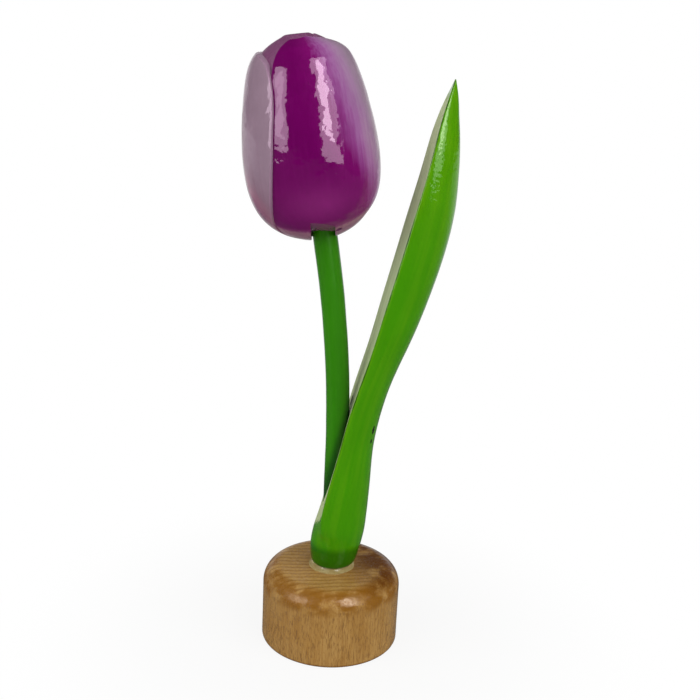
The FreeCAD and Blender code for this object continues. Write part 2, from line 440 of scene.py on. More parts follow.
head = {
    "radius": 21.12,
    "length": 62.6,
    "lean": 8.4,
    "aside": 1.8,                 # its centre line passes this far beside the dowel
    "joint": (-6.70, 0.0, 140.9),
    "petalTurn": 22.0,            # the front petal's middle, from the front to the right
    "halfAngle": 69.0,
    "lift": 0.62,                 # each petal is turned about a centre this far aside
    "innerLift": 0.4,
    "depth": 1.7,
    "flushBelow": 10.0,           # the petals lie level with each other at the head's foot
    "rim": 0.22,
    "innerRim": 0.154,
    "wall": 0.9,                  # the petals' walls end this far inside the crown
    "wallReach": 2.2,             # but no nearer to the centre line than this
    # the flat where the dowel enters: width, where it starts beside the dowel, its slope and reach
    "flatWidth": 7.5,
    "flatStart": 0.7,
    "flatSlope": 20.0,
    "flatReach": 24.0,
    "flatAside": -0.35,
    "chip": (-2.2, -11.1, 145.2),  # where a splinter broke off, with its direction inwards
    "chipInwards": (-0.41, 0.52, 0.75),
    "chipSize": (0.95, 2.0, 1.5),              # radius, and how far out and in it is cut
    "swells": [(11.0, 0.16), (4.5, 0.06)],     # size and depth of the carved unevenness
    # up and out along the outline, as shares of the length and the radius
    "outline": [
        (0.0, 0.26), (0.022, 0.44), (0.072, 0.676), (0.144, 0.852), (0.24, 0.963), (0.37, 1.0),
        (0.5, 0.981), (0.654, 0.915), (0.77, 0.84), (0.85, 0.765), (0.909, 0.665), (0.935, 0.58),
        (0.958, 0.46), (0.978, 0.33), (0.992, 0.18), (1.0, 0.0),
    ],
    "crown": [
        (0.7, 0.80), (0.8, 0.72), (0.88, 0.6), (0.91, 0.515), (0.935, 0.42), (0.955, 0.34),
        (0.975, 0.27), (0.99, 0.2), (0.994, 0.15), (0.982, 0.085), (0.955, 0.0),
    ],
    "innerOutline": [
        (0.6, 0.86), (0.7, 0.815), (0.8, 0.755), (0.86, 0.69), (0.9, 0.62), (0.93, 0.53),
        (0.955, 0.43), (0.975, 0.33), (0.99, 0.24), (1.0, 0.13), (1.004, 0.0),
    ],
    # a petal's sides from foot to tip: share of its height, share of its half angle
    "rightSide": [
        (0.0, 0.45), (0.1, 0.64), (0.2, 0.82), (0.33, 0.93), (0.49, 0.995), (0.62, 1.025),
        (0.75, 1.04), (0.85, 1.005), (0.93, 0.9), (0.965, 0.74), (0.99, 0.38), (1.0, 0.0),
    ],
    "leftSide": [
        (0.0, 1.26), (0.1, 1.22), (0.2, 1.05), (0.33, 0.95), (0.49, 0.89), (0.62, 0.85),
        (0.72, 0.8), (0.8, 0.755), (0.93, 0.715), (0.975, 0.64), (0.993, 0.39), (1.0, 0.0),
    ],
    "innerSide": [
        (0.62, 0.8), (0.75, 0.8), (0.86, 0.76), (0.93, 0.66), (0.97, 0.46), (0.992, 0.22), (1.0, 0.0),
    ],
    "tips": [0.978, 0.931, 0.965],
    "innerTips": [0.992, 0.985, 0.988],
    # where the purple ends, from the petal's middle to the right, at shares of the length
    "purpleEnds": [(0.0, 54), (0.12, 48), (0.26, 40), (0.38, 27), (0.49, 18), (0.62, 15), (0.74, 10),
                   (0.86, 6), (1.0, 3)],
    "purpleShift": [0, -16, -6],  # in degrees, on each outer petal
    "purpleEndPale": 0.45,        # how pale it is there, and over how many degrees it gets paler by one
    "paleRun": 72,
    # the second petal is darker low down: how much, below what height, over what height
    "lowShade": (0.24, 26, 20),
    # a mauve strip along the foot, paler than the deep purple, partly its paint and partly a painted
    # reflection of the pale floor in the glossy underside: height, how it rises aside of its lowest
    # azimuth, half its soft edge
    "strip": {"height": 4.4, "azimuth": -25, "reach": 60, "rise": 3.2, "edge": 0.9, "pale": 0.52},
    # a redder haze above the foot: azimuth, height, and how far it spreads both ways
    "haze": (-14, 12.5, 34, 5.5),
    "greyness": (0.0, 1.0, 0.5),
}


def readOutline(shares):
    points = [(out * head["radius"], up * head["length"]) for up, out in shares]
    line = smoothLine(points, 900)
    slope = np.gradient(line, axis=0)
    slope /= np.linalg.norm(slope, axis=1)[:, None]
    rising = np.maximum.accumulate(line[:, 1]) == line[:, 1]
    return line[rising, 1], line[rising, 0], slope[rising, 1], -slope[rising, 0]


def headReach(outline, azimuth, height, lift):
    # how far the petal's skin is from the head's centre line, and its slope there
    heights, radii, outs, rises = outline
    radius = np.interp(height, heights, radii)
    turn = np.radians(azimuth)
    inside = np.maximum(radius ** 2 - (lift * np.cos(turn)) ** 2, 0.04)
    reach = lift * np.sin(turn) + np.sqrt(inside)
    return reach, np.interp(height, heights, outs), np.interp(height, heights, rises)


def headPlace(azimuth, reach, height):
    turn = np.radians(azimuth)
    return np.stack([reach * np.sin(turn), -reach * np.cos(turn), height], -1)


def leanHead(places):
    lean = radians(head["lean"])
    across = np.array([cos(lean), 0, sin(lean)])
    along = np.array([-sin(lean), 0, cos(lean)])
    foot = np.array(head["joint"]) - across * head["aside"]
    x, y, z = (places[:, k:k + 1] for k in range(3))
    return foot + x * across + y * np.array([0, 1, 0]) + z * along


def distanceTo(line, places):
    tree = kdtree.KDTree(len(line))
    for i, place in enumerate(line):
        tree.insert(place, i)
    tree.balance()
    found = [tree.find(place)[2] for place in places.reshape(-1, 3)]
    return np.array(found).reshape(places.shape[:-1])


def petalPaleness(index, azimuth, height):
    # 0 is deep purple, 1 is the palest lilac along the petal's right side; the foot is a greyer, paler
    # mauve, partly a painted reflection of the floor
    shares, angles = zip(*head["purpleEnds"])
    ends = np.interp(height / head["length"], shares, angles) + head["purpleShift"][index]
    side = head["purpleEndPale"] + (azimuth - ends) / head["paleRun"]
    if index == 1:
        shade, below, run = head["lowShade"]
        side = np.minimum(side, 1) - shade * np.clip((below - height) / run, 0, 1)
    pale = np.clip(side, 0, 1)
    # the strip along the foot: partly paint, partly a painted reflection of the floor
    strip, edge = head["strip"], head["strip"]["edge"]
    aside = (azimuth - strip["azimuth"]) / strip["reach"]
    upTo = strip["height"] + aside ** 2 * strip["rise"]
    low = np.clip((upTo + edge - height) / (2 * edge), 0, 1)
    return pale * (1 - low) + strip["pale"] * low, low


def paintMarks(places, **marks):
    # what the paint reads at each point, which is plain inner wood unless more is said
    plain = {"pale": 0.5, "rimGap": 9.0, "bud": 1.0, "greyness": 0.0, "haze": 0.0}
    full = {
        label: np.broadcast_to(np.ravel(values), len(places))
        for label, values in {**plain, **marks}.items()
    }
    return {**full, "strokePlace": places}


def petal(name, index, middle, outline, sides, tip, rowCount, middleCount, inner=False):
    # rows of closed loops from the foot to the tip: up one wall, over the skin, down the other
    halfAngle = head["halfAngle"]
    lift = head["innerLift" if inner else "lift"]
    rim = head["innerRim" if inner else "rim"]
    flush = head["flushBelow"]
    degree = head["radius"] * radians(1)     # millimetres along the skin
    unit = np.array([degree, 1])
    lines = []
    for shares, sign in zip(sides, (-1, 1)):
        ends = [(sign * out * halfAngle * degree, up * tip * head["length"]) for up, out in shares]
        lines.append(smoothLine(ends, 1500) / unit)
    spread = np.linspace(0, 1, rowCount)
    spread = spread * (1.5 - 0.5 * spread) * 0.998      # stops just short of the tip's point
    left, right = (alongLine(line * unit, spread) / unit for line in lines)
    # closer columns beside both edges, for the rounded rim
    near = np.array([0, 0.0009, 0.0022, 0.0045, 0.0067, 0.01, 0.0145, 0.02])
    across = np.concatenate([near, np.linspace(0.03, 0.97, middleCount), 1 - near[::-1]])
    spots = left[:, None] + (right - left)[:, None] * across[None, :, None]
    azimuth, height = spots[..., 0], spots[..., 1]
    reach, out, rise = headReach(outline, azimuth, height, lift * np.clip(height / flush, 0, 1))
    border = np.concatenate(lines)
    borderLift = lift * np.clip(border[:, 1] / flush, 0, 1)
    borderReach = headReach(outline, border[:, 0], border[:, 1], borderLift)[0]
    borderPlaces = headPlace(border[:, 0], borderReach, border[:, 1])
    gap = distanceTo(borderPlaces, headPlace(azimuth, reach, height))
    fall = rim - np.sqrt(np.maximum(rim ** 2 - np.maximum(rim - gap, 0) ** 2, 0))
    reach = np.maximum(reach - fall * out, 0.05)
    height = height - fall * rise
    # the walls on both sides run in towards the head's centre line
    inside = np.interp(height, crownOutline[0], crownOutline[1]) - head["wall"]
    inside = np.minimum(np.maximum(inside, 0.3 if inner else head["wallReach"]), reach)
    steps = np.array([0.08, 0.2, 0.45, 1.0])
    walls = [reach[:, j, None] + (inside - reach)[:, j, None] * steps for j in (0, -1)]
    reach = np.concatenate([walls[0][:, ::-1], reach, walls[1]], 1)
    beside = (0, 0), (len(steps), len(steps))
    azimuth, height = (np.pad(values, beside, "edge") for values in (azimuth, height))
    gap = np.pad(gap, beside)
    places = headPlace(azimuth + middle, reach, height)
    if not inner:
        places[0, :, 2] += index * 0.06                 # so that no two petals end in one plane
    seed = 1 + index + 3 * inner
    bumps = sum(swell(places, size, depth, seed) for size, depth in head["swells"])
    outward = headPlace(azimuth + middle, np.ones_like(reach), np.zeros_like(reach))
    places = places + outward * bumps[..., None]
    pale, low = petalPaleness(index, azimuth, height)
    marks = {"rimGap": np.minimum(gap, 9), "greyness": np.maximum(head["greyness"][index], low)}
    if not inner:
        atAzimuth, atHeight, wide, high = head["haze"]
        haze = np.exp(-((azimuth - atAzimuth) / wide) ** 2 - ((height - atHeight) / high) ** 2)
        marks.update({"pale": pale, "bud": 0.0, "haze": haze * (1 - low)})
    # each petal has its own stretch of brush strokes
    around = azimuth * degree + index * 90 + (300 if inner else 0)
    strokes = np.stack([around, head["radius"] - reach, height], -1).reshape(-1, 3)
    faces = loopFaces(*azimuth.shape, capped=True)
    return makePiece(name, leanHead(places.reshape(-1, 3)), faces, paintMarks(strokes, **marks))


def headCore():
    length, radius, depth = head["length"], head["radius"], head["depth"]
    sides = [(up * length, out * radius - depth) for up, out in head["outline"] if 0.05 < up < 0.68]
    crown = [(up * length, out * radius) for up, out in head["crown"]]
    line = smoothLine([(depth, 0.8 * depth), (2 * depth, 3.6 * depth)] + sides + crown, 200)
    profile = [(0, line[0, 0])] + [(out, up) for up, out in line[:-1]] + [(0, line[-1, 0])]

    def unevenness(places):
        return swell(places, 4.0, 0.1, 9)
    core = turnedPiece("flowerHead", profile, 150, unevenness, paintMarks)
    corners = np.array([vertex.co for vertex in core.data.vertices]) / mm
    core.data.vertices.foreach_set("co", (leanHead(corners) * mm).ravel())
    return core


def drillPiece(name, mouth, direction, radius, back, depth):
    # a drilled hole with its pointed end; back is how far the drill stands out of the mouth
    point = depth + radius / tan(drillPoint)
    profile = [(0, -back), (radius, -back), (radius, depth * 0.5), (radius, depth), (0, point)]
    drill = turnedPiece(name, profile, 72, lambda places: np.zeros(places.shape[:-1]))
    turn = Vector((0, 0, 1)).rotation_difference(Vector(direction)).to_matrix().to_4x4()
    drill.data.transform(Matrix.Translation(Vector(mouth) * mm) @ turn)
    return drill


def flatCutter():
    # a block whose upper face trims the wood in front of the dowel
    x, y, z = head["joint"]
    half, slope = head["flatWidth"] / 2, radians(head["flatSlope"])
    start, far = head["flatStart"] + z, head["flatReach"]
    side = [(0, start), (-far, start + far * tan(slope)), (-far, z - 9), (0, z - 9)]
    middle = x + head["flatAside"]
    places = np.array([(middle + aside, y + out, up) for aside in (-half, half) for out, up in side])
    marks = paintMarks(places, pale=0.12, bud=0.4, greyness=1.0)
    return makePiece("flatCutter", places, loopFaces(2, 4, capped=True), marks)


crownOutline = readOutline(head["crown"])


def makeFlowerHead():
    outer = readOutline(head["outline"])
    inner = readOutline(head["innerOutline"])
    core = headCore()
    petals = []
    for index, tip in enumerate(head["tips"]):
        middle = head["petalTurn"] - 120 * index
        sides = (head["leftSide"], head["rightSide"])
        petals.append(petal(f"outerPetal{index}", index, middle, outer, sides, tip, 190, 66))
    for index, tip in enumerate(head["innerTips"]):
        name, middle = f"innerPetal{index}", head["petalTurn"] - 60 - 120 * index
        sides = (head["innerSide"], head["innerSide"])
        petals.append(petal(name, index, middle, inner, sides, tip, 110, 40, inner=True))
    lean = radians(stem["lean"])
    direction = (-sin(lean), 0, cos(lean))
    drill = drillPiece("headDrill", head["joint"], direction, holeRadius, 9.0, stem["holeDepth"])
    chip = drillPiece("headChip", head["chip"], head["chipInwards"], *head["chipSize"])
    return cutAndJoin(core, petals, [drill, flatCutter(), chip])


# Dowel

stem = {
    "radius": 4.0,
    "gap": 0.12,
    "holeDepth": 15.0,            # in the block and in the head
    "straight": 41.7,             # above the block, before the bend
    "bend": 400.0,
    "lean": 10.5,
    "inHead": 14.8,
}
holeRadius = stem["radius"] + stem["gap"]


def makeStem():
    # its route is places to the right and up, with how far it leans there
    lean = radians(stem["lean"])
    low, bendStart = blockHeight - stem["holeDepth"] + 0.1, blockHeight + stem["straight"]

    def bent(angle):
        return -stem["bend"] * (1 - cos(angle)), bendStart + stem["bend"] * sin(angle), angle
    route = [(0, height, 0) for height in np.linspace(low, bendStart, 60, endpoint=False)]
    route += [bent(angle) for angle in np.linspace(0, lean, 76, endpoint=False)]
    x, z, _ = bent(lean)
    for far in np.linspace(0, stem["inHead"], 12):
        route.append((x - far * sin(lean), z + far * cos(lean), lean))
    x, z, leans = np.array(route).T
    level = np.zeros(len(x))
    angles = roundAngles(64)
    across, around = np.cos(angles), np.sin(angles)
    side = np.stack([np.cos(leans), level, np.sin(leans)], -1)
    outward = side[:, None] * across[:, None] + np.array([0, 1, 0]) * around[:, None]
    places = np.stack([x, level, z], -1)[:, None] + outward * stem["radius"]
    bumps = swell(places, 9.0, 0.12, 21) + swell(places, 3.0, 0.04, 22)
    places = places + outward * bumps[..., None]
    strokes = np.stack([
        across * stem["radius"] + level[:, None], around * stem["radius"] + level[:, None],
        np.repeat(z[:, None], len(angles), 1),
    ], -1)
    faces = loopFaces(len(x), len(angles), capped=True)
    return makePiece("dowelStem", places, faces, {"strokePlace": strokes.reshape(-1, 3)})


# Leaf

leaf = {
    "width": 23.1,
    "reach": 31.2,
    "turn": 3.5,
    "rows": 250,
    "crowding": 0.09,             # how much closer the rows stand towards the foot and the tip
    "curvePoints": 2000,
    "edgeRounding": 0.42,
    "swells": [(14.0, 0.16), (4.0, 0.05)],
    # share of the length, of the reach for the inner face and the back, of the width, set-back
    "stations": [
        (0.0, -0.152, 0.152, 0.41, 0.5), (0.0035, -0.178, 0.182, 0.49, 0.5),
        (0.0085, -0.213, 0.225, 0.588, 0.5), (0.016, -0.238, 0.259, 0.666, 0.5),
        (0.032, -0.25, 0.285, 0.71, 0.46), (0.071, -0.237, 0.33, 0.745, 0.3),
        (0.113, -0.18, 0.356, 0.775, 0.08), (0.144, -0.13, 0.366, 0.79, 0.02),
        (0.205, -0.042, 0.378, 0.82, -0.03), (0.265, 0.03, 0.392, 0.85, -0.04),
        (0.326, 0.1, 0.44, 0.885, -0.05), (0.387, 0.18, 0.516, 0.925, -0.05),
        (0.478, 0.317, 0.692, 0.97, -0.05), (0.569, 0.436, 0.862, 1.0, -0.05),
        (0.66, 0.555, 0.997, 1.0, -0.05), (0.751, 0.67, 1.087, 0.965, -0.05),
        (0.812, 0.747, 1.103, 0.91, -0.05), (0.872, 0.811, 1.096, 0.8, -0.05),
        (0.921, 0.865, 1.074, 0.615, -0.04), (0.964, 0.93, 1.048, 0.355, -0.03),
        (0.99, 0.976, 1.02, 0.12, -0.02), (1.0, 0.994, 1.006, 0.02, 0.0),
    ],
}
leafStations = smoothLine(leaf["stations"], leaf["curvePoints"])


def stationAt(up):
    return readRows(up, leafStations[:, 0], leafStations)


def arcPoints(start, middle, end, shares):
    # a round arc through three points, or a shallow bow where they are nearly in line
    start, middle, end = (np.array(spot, float) for spot in (start, middle, end))
    chord = end - start
    bow = middle - (start + end) / 2
    if np.linalg.norm(bow) < 0.08 * np.linalg.norm(chord):
        s = shares[:, None]
        return start * (1 - s) * (1 - 2 * s) + middle * 4 * s * (1 - s) + end * s * (2 * s - 1)
    system = 2 * np.array([middle - start, end - start])
    centre = np.linalg.solve(system, [middle @ middle - start @ start, end @ end - start @ start])
    radius = np.linalg.norm(start - centre)
    angles = [atan2(*(spot - centre)[::-1]) for spot in (start, middle, end)]
    part, sweep = ((angle - angles[0]) % (2 * pi) for angle in angles[1:])
    if not 0 < part < sweep:
        sweep -= 2 * pi
    at = angles[0] + sweep * shares
    return centre + radius * np.stack([np.cos(at), np.sin(at)], -1)


def leafRing(station):
    # one closed loop across the leaf: the inner face, then the round back, with soft corners
    up, inner, back, width, setBack = station
    innerX, backX = leaf["reach"] * inner, leaf["reach"] * back
    edgeX = innerX + (backX - innerX) * setBack
    half = leaf["width"] * width / 2
    turn = half * tan(radians(leaf["turn"])) * max(inner, 0)
    near, far = (edgeX + turn, -half), (edgeX - turn, half)
    dense = np.linspace(0, 1, 480, endpoint=False)
    loop = np.concatenate([
        arcPoints(near, (innerX, 0), far, dense), arcPoints(far, (backX, 0), near, dense),
    ])
    steps = np.linalg.norm(np.roll(loop, -1, 0) - loop, axis=1)
    rounding = min(leaf["edgeRounding"], half * 0.2)
    even = np.concatenate([[0], np.cumsum(steps)])
    total = even[-1]
    count = 1024
    at = np.arange(count) * total / count
    ring = readRows(at, even, np.concatenate([loop, loop[:1]]))
    waves = np.fft.rfftfreq(count, total / count)
    fade = np.exp(-2 * (pi * waves * rounding) ** 2)
    ring = np.fft.irfft(np.fft.rfft(ring, axis=0) * fade[:, None], count, axis=0)
    corner = even[len(dense)] / total
    crowd = np.concatenate([[0, 0.012, 0.026, 0.042, 0.062, 0.088], np.linspace(0.12, 0.5, 16)])
    crowd = np.concatenate([crowd, 1 - crowd[-2:0:-1]])
    picks = np.concatenate([crowd * corner, corner + crowd * (1 - corner)])
    spots = readRows(picks, np.linspace(0, 1, count + 1), np.concatenate([ring, ring[:1]]))
    nearGap = np.minimum(picks, 1 - picks) * total
    gap = np.minimum(nearGap, np.abs(picks - corner) * total)
    return spots, (picks < corner).astype(float), gap, nearGap


def makeLeaf():
    spread = np.linspace(0, 1, leaf["rows"])
    spread = spread - leaf["crowding"] / pi * np.sin(2 * pi * spread)
    foot, tip = [0, 0.0015, 0.003, 0.0055], [0.985, 0.99, 0.994, 0.997, 0.999, 1.0]
    wanted = np.unique(np.clip(np.concatenate([foot, spread[2:-6], tip]), 0, 1))
    spots, onFace, gap, nearGap = map(np.array, zip(*map(leafRing, stationAt(wanted))))
    heights = blockHeight + leafLength * wanted
    rows, columns = spots.shape[:2]
    places = np.concatenate([spots, np.repeat(heights[:, None, None], columns, 1)], -1)
    middle = places.mean(1, keepdims=True)
    outward = places - middle
    outward /= np.maximum(np.linalg.norm(outward, axis=-1, keepdims=True), 1e-6)
    size = np.linalg.norm(places - middle, axis=-1)
    bumps = sum(swell(places, far, depth, 31) for far, depth in leaf["swells"])
    places = places + outward * (bumps * np.clip(size / 4, 0, 1))[..., None]
    piece = makePiece("carvedLeaf", places, loopFaces(rows, columns, capped=True), {
        "innerFace": onFace.ravel(),
        "edgeGap": gap.ravel(),
        "nearGap": nearGap.ravel(),
        "upLeaf": np.repeat(wanted[:, None], columns, 1).ravel(),
        "strokePlace": (places - middle * np.array([1, 1, 0])).reshape(-1, 3),
    })
    drill = drillPiece("leafDrill", (0, 0, blockHeight), (0, 0, 1), holeRadius, 3.0, 90.0)
    return cutAndJoin(piece, (), [drill])


# Turned block

block = {
    "topRounding": 6.25,
    "footRounding": 0.7,
    "columns": 260,
}


def makeBlock():
    top, foot = block["topRounding"], block["footRounding"]
    radius, height = blockRadius - 0.01, blockHeight
    holeFloor = height - stem["holeDepth"]

    def rounded(size, middle, angles):
        turns = [radians(angle) for angle in angles]
        return [(radius - size + size * cos(turn), middle + size * sin(turn)) for turn in turns]
    profile = [(0, 0)] + [(out, 0) for out in np.linspace(1.5, radius - foot, 18, endpoint=False)]
    profile += rounded(foot, foot, np.linspace(-90, 0, 7))
    profile += [(radius, up) for up in np.linspace(foot, height - top, 26)[1:-1]]
    profile += rounded(top, height - top, np.linspace(0, 90, 22))
    profile += [(out, height) for out in np.linspace(radius - top, holeRadius, 22)[1:]]
    profile += [(holeRadius, up) for up in np.linspace(height, holeFloor, 8)[1:]]
    profile.append((0, holeFloor - holeRadius / tan(drillPoint)))

    def unevenness(places):
        wall = np.hypot(places[..., 0], places[..., 1]) > holeRadius + 0.5
        return (swell(places, 16.0, 0.1, 41) + swell(places, 4.0, 0.03, 42)) * wall
    return turnedPiece("turnedBlock", profile, block["columns"], unevenness)


# Ring of clear glue in the corner between the leaf's foot and the block

glue = {
    "reach": 7.87,
    "toe": 0.28,                  # how high its outer edge and its inner edge are
    "crest": 1.67,
    "sunk": 0.04,
    # waves round it: size and seed, and how far they move the outer edge out and the inner one up
    "waves": [((1.6, 4.2), (-0.25, -0.22)), ((5, 9.2), (-0.08, 0.06))],
}


def footReach(azimuth, height):
    # how far the leaf's foot stands out at this height above the block
    spots = leafRing(stationAt(height / leafLength))[0]
    turns = np.arctan2(spots[:, 1], spots[:, 0])
    order = np.argsort(turns)
    return np.interp(azimuth, turns[order], np.hypot(*spots[order].T), period=2 * pi)


def makeGlue():
    # rows of points round the leaf's foot: along the block, up the hollow outside, down inside
    angles = roundAngles(180)
    low, middle, high = (footReach(angles, height) for height in (0.0, 0.5, 1.2))
    reach, crest = glue["reach"], glue["crest"]
    for (size, seed), (outwards, upwards) in glue["waves"]:
        places = [Vector((cos(angle) * size, sin(angle) * size, seed)) for angle in angles]
        wave = np.array([noise.noise(place) for place in places])
        reach = reach + wave * outwards
        crest = crest + wave * upwards
    rows = [(low * (1 - share) + reach * share - 0.05, -glue["sunk"]) for share in (0.0, 0.33, 0.66)]
    rows.append((reach, -glue["sunk"]))
    for share in np.linspace(0, 1, 9):
        lift = glue["toe"] + (crest - glue["toe"]) * share ** 2.1
        rows.append((reach - (reach - high + 0.06) * (1 - (1 - share) ** 1.5), lift))
    rows += [(high - 0.3, crest - 0.35), (middle - 0.12, 0.45)]
    places = np.stack([
        np.stack([far * np.cos(angles), far * np.sin(angles), blockHeight + lift + 0 * angles], -1)
        for far, lift in rows
    ])
    columns = len(angles)
    faces = loopFaces(len(rows) + 1, columns)
    faces = [tuple(corner % (len(rows) * columns) for corner in face) for face in faces]
    return makePiece("glueRing", places, faces, {})


# Finishes

# the paint from deep purple to the palest lilac, and the greyer paint that greyness turns it to
petalSteps = [
    (0.0, (100, 2, 83)), (0.3, (114, 12, 95)), (0.44, (134, 60, 126)), (0.6, (150, 95, 148)),
    (0.8, (156, 121, 154)), (1.0, (151, 129, 147)),
]
petalGreySteps = [
    (0.0, (108, 20, 84)), (0.35, (122, 58, 98)), (0.52, (148, 98, 120)), (0.74, (137, 108, 125)),
    (1.0, (144, 120, 136)),
]
petalColours = paintColours({
    "haze": (134, 38, 112),
    "budLight": (128, 78, 114),
    "budDark": (110, 58, 96),
    "rimLine": (168, 126, 158),
})
petalShares = {
    "drag": 0.04,                 # how far a streak shifts the paleness, and a patch
    "blot": 0.06,
    "haze": 0.62,
    "rimLine": 0.36,
    "rimLineInBud": 0.11,
    "budRoughness": 0.3,
}


def petalPaint(tree):
    place = marked(tree, "strokePlace", "Vector")
    streaks, patches = brushed(place, 0.3, 13.0)
    inBud = marked(tree, "bud")
    # the brush dragged one colour into the other
    dragged = (streaks - 0.5) * petalShares["drag"] + (patches - 0.5) * petalShares["blot"]
    pale = marked(tree, "pale") + dragged
    bud = blendColours(streaks, petalColours["budDark"], petalColours["budLight"])
    rim = edgeBand(marked(tree, "rimGap"), place, 0.36, 0.5)
    lessInBud = petalShares["rimLineInBud"] - petalShares["rimLine"]
    colour = layered(colourSteps(pale, petalSteps), [
        (marked(tree, "greyness"), colourSteps(pale, petalGreySteps)),
        (marked(tree, "haze") * petalShares["haze"], petalColours["haze"]),
        (inBud, bud),
        (rim * (inBud * lessInBud + petalShares["rimLine"]), petalColours["rimLine"]),
    ])
    solid = millimetres(tree)
    gloss = between(streaks, 0.0, 1.0, 0.04, 0.085)
    finishSurface(tree, {
        "Base Color": drifting(colour, solid, 7.0, 0.22),
        "Roughness": inBud * petalShares["budRoughness"] + gloss,
        "Specular Tint": (1.0, 0.74, 0.93, 1),
        "Normal": bumped(lacquered(solid, 4.4, 0.2), 0.3),
    })


leafColours = paintColours({
    "green": (61, 137, 2),
    # a darker green, painted shade on the leaf's foot
    "shadeGreen": (30, 93, 1),
    "yellowGreen": (92, 152, 10),
    "innerPale": (202, 215, 166),
    "innerShade": (162, 178, 124),
    "darkLine": (26, 62, 6),
    # near black, for the chips and for the painted shade behind the dowel
    "chip": (18, 30, 6),
})
greenTint = (0.86, 1.0, 0.66, 1)

# shares of the leaf's length between which each of these changes
leafHeights = {
    "leafFootShade": (0.045, 0.066),
    "innerStart": (0.1, 0.113),
    "rimStart": (0.12, 0.2),
    "lineStart": (0.2, 0.34),
    "innerLit": (0.4, 0.62),
    # painted light: the green gets lighter and yellower between these heights
    "yellower": (0.6, 0.9),
    "greenTip": (0.955, 0.985),
}
# from the near edge, in millimetres
rimWidth = (0.5, 1.3)
lineWidth = (0.2, 0.55)

# dark chips in the green paint, and a painted shade on the inner face behind the dowel: place, and half
# size across and along
leafChipsAndShade = [
    ((11.7, -5.2, 78.3), (0.6, 0.8, 1.8)),
    ((11.2, -4.9, 74.2), (0.5, 0.6, 0.8)),
    # painted shade: a dark patch on the inner face right behind the dowel, where the dowel shades the
    # leaf, over a few dark strokes in the paint
    ((4.3, 4.9, 84.8), (1.2, 1.6, 2.4)),
]
chipAndShadeEdge = (1.1, 1.5)


def leafPaint(tree):
    place = marked(tree, "strokePlace", "Vector")
    solid = millimetres(tree)
    streaks, patches = brushed(place, 0.6, 16.0)
    height = marked(tree, "upLeaf")
    # brush patches make the green yellower, and towards the top it is painted lighter and yellower as
    # painted light
    yellower = patches * 0.35 + between(height, *leafHeights["yellower"], 0.0, 0.4)
    green = layered(leafColours["green"], [
        (yellower, leafColours["yellowGreen"]),
        # painted shade: the foot is darker green low down, where it rounds in above the block
        (between(height, *leafHeights["leafFootShade"], 0.85, 0.0), leafColours["shadeGreen"]),
    ])
    dimmer = streaks * 0.5 + between(height, *leafHeights["innerLit"], 0.45, 0.0)
    pale = blendColours(dimmer, leafColours["innerPale"], leafColours["innerShade"])
    # the pale paint ends in a hand-drawn bow across the foot
    across = axesOf(solid)["Y"]
    bow = height + across * across * -0.0005 + noiseAt(solid, 0.5) * 0.02
    inner = marked(tree, "innerFace") * between(bow, *leafHeights["innerStart"])
    edge = edgeBand(marked(tree, "edgeGap"), place, 0.75, 0.7)
    shown = inner * (1.0 - larger(edge, between(height, *leafHeights["greenTip"])))
    # the near edge has an uneven dark line, and a lighter rim beside it
    nearGap = marked(tree, "nearGap")
    rim = between(nearGap, *rimWidth, 1.0, 0.0) * between(height, *leafHeights["rimStart"], 0.0, 0.5)
    uneven = between(noiseAt(stretched(solid, (3, 3, 14)), 1.0), 0.36, 0.6)
    drawn = uneven * between(height, *leafHeights["lineStart"])
    layers = [
        (shown, pale),
        (rim, leafColours["yellowGreen"]),
        (between(nearGap, *lineWidth, 0.85, 0.0) * drawn, leafColours["darkLine"]),
    ]
    # dark chips, and the painted shade behind the dowel
    for spot, sizes in leafChipsAndShade:
        away = fromNode(tree, "ShaderNodeVectorMath", {0: solid, 1: spot}, operation="SUBTRACT")
        far = lengthOf(stretched(away, sizes)) + noiseAt(solid, 1.6) * 0.8
        layers.append((between(far, *chipAndShadeEdge, 1.0, 0.0), leafColours["chip"]))
    finishSurface(tree, {
        "Base Color": drifting(layered(green, layers), solid, 12.0, 0.18),
        # the pale inner face is matt
        "Roughness": shown * 0.6 + between(streaks, 0.0, 1.0, 0.06, 0.1),
        "Specular IOR Level": 0.32,
        "Specular Tint": greenTint,
        "Normal": bumped(lacquered(solid, 1.1, 0.3), 0.085),
    })


stemColours = paintColours({
    "green": (44, 122, 2),
    "lightGreen": (56, 134, 4),
    "shade": (4, 54, 12),
})
stemShade = {
    "edgeAtFloor": 17.1,          # the leaf's near edge, from the dowel's axis to the left
    "edgeSlope": 0.2546,
    "reach": (-3.4, -0.2),        # from the edge
    "fade": (92.0, 108.0),        # heights between which it ends
    "depth": 0.8,
}


def stemPaint(tree):
    place = marked(tree, "strokePlace", "Vector")
    solid = millimetres(tree)
    streaks, patches = brushed(place, 0.5, 20.0)
    green = blendColours(streaks * 0.3, stemColours["green"], stemColours["lightGreen"])
    green = drifting(green, solid, 14.0, 0.2)
    # the leaf's near edge crosses the dowel on a slant, and keeps the light off beside it
    at = axesOf(solid)
    pastEdge = at["X"] + stemShade["edgeAtFloor"] - at["Z"] * stemShade["edgeSlope"]
    shade = between(pastEdge, *stemShade["reach"])
    shade = shade * between(at["Z"], *stemShade["fade"], stemShade["depth"], 0.0)
    finishSurface(tree, {
        "Base Color": blendColours(shade, green, stemColours["shade"]),
        "Roughness": between(streaks, 0.0, 1.0, 0.16, 0.26),
        "Specular IOR Level": 0.4,
        "Specular Tint": greenTint,
        "Normal": bumped(lacquered(solid, 4.0, 0.3), 0.12),
    })


